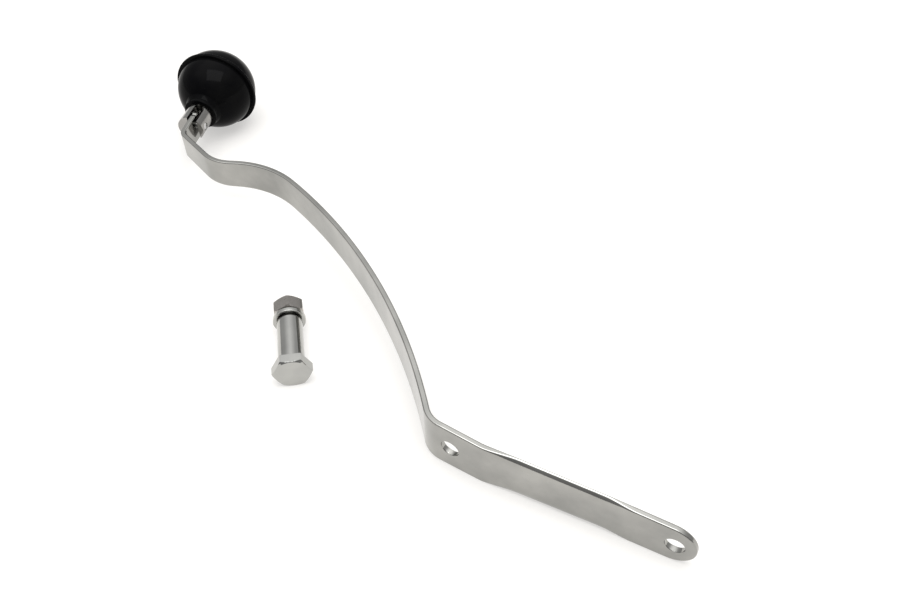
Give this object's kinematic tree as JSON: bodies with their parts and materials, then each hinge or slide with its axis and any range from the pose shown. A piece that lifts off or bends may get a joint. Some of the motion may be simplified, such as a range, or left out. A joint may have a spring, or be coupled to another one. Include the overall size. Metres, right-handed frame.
{
  "type": "gear shift lever",
  "caption": "Chromed hand gear shift lever: a bent flat-steel arm with a pivot hole, a shift-rod eye, a folding black knob on a pinned clevis, and a loose pivot bolt, lock washer and nut.",
  "frame": {"origin": "centre of the pivot hole, at the middle of the strap's thickness and width", "axes": "+Y along the pivot hole's axis, +X from the pivot hole towards the shift-rod eye along the strap, +Z across the strap's width, up when the lever lies on its narrow edge"},
  "size_m": [0.4412, 0.1947, 0.0558],
  "materials": {
    "chrome_plate": "polished",
    "bolt_chrome": "polished",
    "washer_steel": "bright",
    "nut_steel": "satin",
    "pin_steel": "ground",
    "insert_brass": "turned",
    "black_moulding": "high gloss"
  },
  "bodies": {
    "lever": {"lever_strap": "chrome_plate"},
    "knob_head": {"hinge_clevis": "chrome_plate", "hinge_pin": "pin_steel", "detent_spring": "pin_steel", "knob_insert": "insert_brass", "knob_base": "black_moulding", "knob_cap": "black_moulding"},
    "detent": {"detent_ball": "pin_steel"},
    "bolt_set": {"pivot_bolt": "bolt_chrome", "lock_washer": "washer_steel", "pivot_nut": "nut_steel"}
  },
  "joints": [
    {"name": "knob_fold", "type": "hinge", "parent": "lever", "child": "knob_head", "pos_m": [-0.27881, 0.1225, 0], "axis": [0.9449, 0.3272, 0], "range_deg": [-90, 90]},
    {"name": "detent_travel", "type": "slide", "parent": "knob_head", "child": "detent", "axis": [0.3272, -0.9449, 0], "range_m": [0, 0.00045], "stiffness_N_per_m": 300, "springref_m": 0.003},
    {"name": "bolt_set_lift", "type": "slide", "parent": "lever", "child": "bolt_set", "axis": [0, 0, 1], "range_m": [0, 0.06]}
  ]
}
